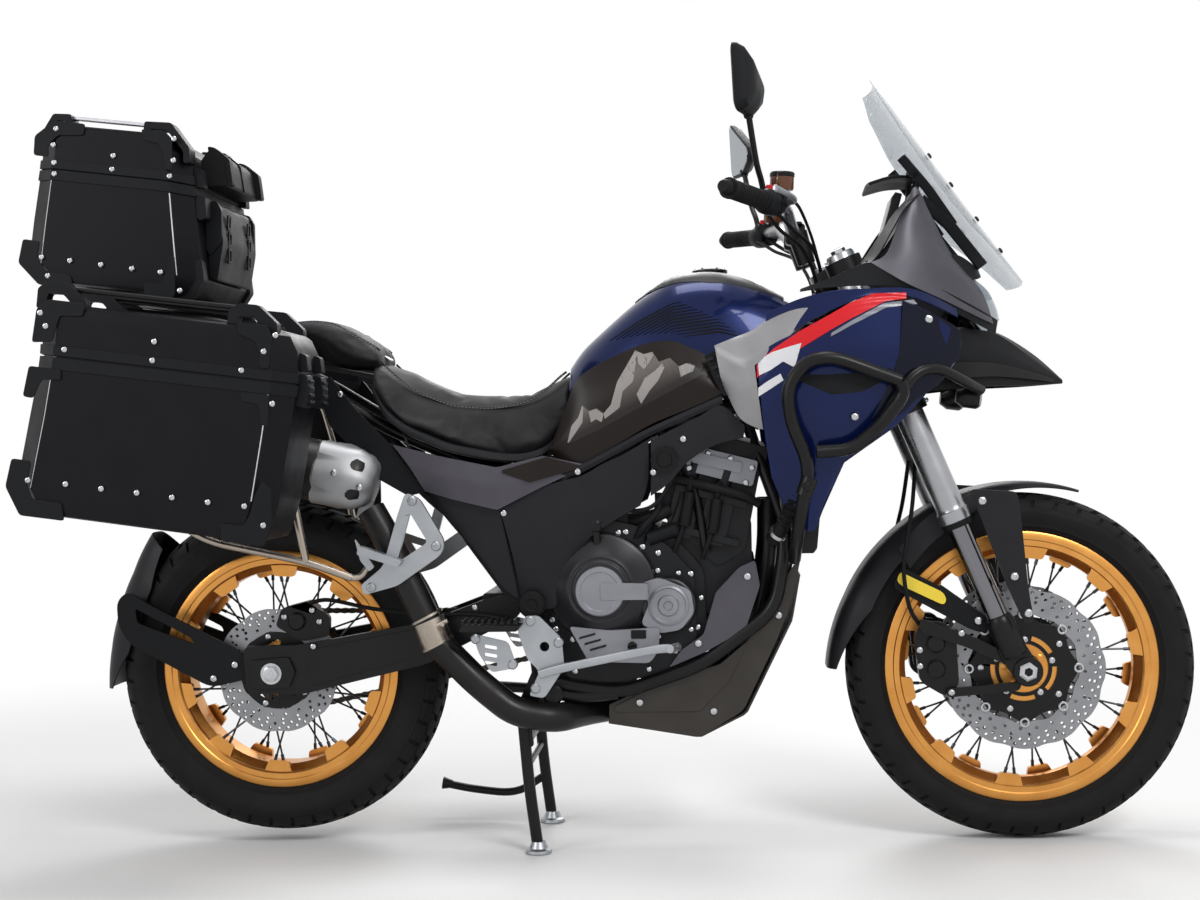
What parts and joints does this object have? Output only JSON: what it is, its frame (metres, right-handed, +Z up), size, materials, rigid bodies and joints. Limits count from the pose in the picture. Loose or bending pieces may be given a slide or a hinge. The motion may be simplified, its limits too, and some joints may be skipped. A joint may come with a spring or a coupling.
{
  "type": "adventure motorcycle",
  "caption": "Adventure motorcycle on its centre stand, with spoked wheels, steering fork, clear screen, crash bars and aluminium luggage cases with hinged lids.",
  "frame": {"origin": "on the floor under the middle of the machine's length and width", "axes": "+X forward, +Y to the rider's left, +Z up"},
  "size_m": [2.189, 0.96, 1.4456],
  "materials": {
    "black_frame": "satin black",
    "engine_black": "painted casting",
    "cover_grey": "painted casting",
    "radiator_black": "matte black",
    "exhaust_black": "heatproof black",
    "muffler_metal": "satin",
    "blue_gloss": "gloss navy blue",
    "seat_vinyl": "matte black vinyl",
    "brown_black": "satin brown-black",
    "grey_satin": "satin grey",
    "dark_plastic": "matte black",
    "silver_satin": "satin silver",
    "lamp_clear": "clear",
    "screen_clear": "clear, faintly smoked",
    "skid_grey": "matte grey-brown",
    "peg_black": "satin black",
    "cast_aluminium": "blasted casting",
    "case_black": "powder-coated black",
    "lamp_red": "red lens",
    "spring_red": "red spring",
    "chain_steel": "oiled",
    "caliper_black": "satin black",
    "fork_silver": "satin silver",
    "tyre_black": "matte",
    "gold_anodised": "gold anodised",
    "disc_steel": "ground"
  },
  "bodies": {
    "frame": {"main_frame": "black_frame", "engine_block": "engine_black", "engine_covers": "cover_grey", "radiator": "radiator_black", "exhaust": "exhaust_black", "fuel_tank": "blue_gloss", "seats": "seat_vinyl", "side_panels": "brown_black", "side_covers": "grey_satin", "lower_covers": "dark_plastic", "fairing_panels": "blue_gloss", "front_cowl": "grey_satin", "headlight": "lamp_clear", "beak": "dark_plastic", "windscreen": "screen_clear", "instrument_panel": "dark_plastic", "crash_bars": "black_frame", "skid_plate": "skid_grey", "footpegs_and_pedals": "cast_aluminium", "luggage_rack": "black_frame", "side_cases": "case_black", "top_case": "case_black", "tail_light": "lamp_red", "swingarm": "black_frame", "rear_shock": "spring_red", "drive_chain": "chain_steel", "rear_mudguard": "dark_plastic", "rear_brake_caliper": "caliper_black"},
    "right_lid": {"side_case_right_lid": "case_black"},
    "left_lid": {"side_case_left_lid": "case_black"},
    "top_lid": {"top_case_lid": "case_black"},
    "centre_stand": {"centre_stand": "black_frame"},
    "side_stand": {"side_stand": "black_frame"},
    "fork": {"fork_clamps": "caliper_black", "fork_legs": "fork_silver", "handlebar": "fork_silver", "mirrors": "dark_plastic", "front_mudguard": "dark_plastic", "front_brake_calipers": "caliper_black"},
    "front_wheel": {"front_tyre": "tyre_black", "front_rim": "gold_anodised", "front_hub_and_discs": "gold_anodised"},
    "rear_wheel": {"rear_tyre": "tyre_black", "rear_rim": "gold_anodised", "rear_hub_and_disc": "gold_anodised"}
  },
  "joints": [
    {"name": "steering", "type": "hinge", "parent": "frame", "child": "fork", "pos_m": [0.4695, 0, 0.93168], "axis": [-0.3811, 0, 0.9245], "range_deg": [-35, 35]},
    {"name": "front_wheel_spin", "type": "hinge", "parent": "fork", "child": "front_wheel", "pos_m": [0.7655, 0, 0.329], "axis": [0, 1, 0], "continuous": true},
    {"name": "rear_wheel_spin", "type": "hinge", "parent": "frame", "child": "rear_wheel", "pos_m": [-0.6545, 0, 0.341], "axis": [0, 1, 0], "continuous": true},
    {"name": "centre_stand_fold", "type": "hinge", "parent": "frame", "child": "centre_stand", "pos_m": [-0.1765, 0, 0.278], "axis": [0, 1, 0], "range_deg": [0, 82]},
    {"name": "side_stand_swing", "type": "hinge", "parent": "frame", "child": "side_stand", "pos_m": [-0.0645, 0.183, 0.262], "axis": [0, -0.9613, -0.2756], "range_deg": [0, 95]},
    {"name": "right_lid_hinge", "type": "hinge", "parent": "frame", "child": "right_lid", "pos_m": [-0.9655, -0.3625, 0.9408], "axis": [0, -1, 0], "range_deg": [0, 85]},
    {"name": "left_lid_hinge", "type": "hinge", "parent": "frame", "child": "left_lid", "pos_m": [-0.9655, 0.3625, 0.9408], "axis": [0, -1, 0], "range_deg": [0, 85]},
    {"name": "top_lid_hinge", "type": "hinge", "parent": "frame", "child": "top_lid", "pos_m": [-1.0665, 0, 1.3048], "axis": [0, -1, 0], "range_deg": [0, 80]}
  ]
}
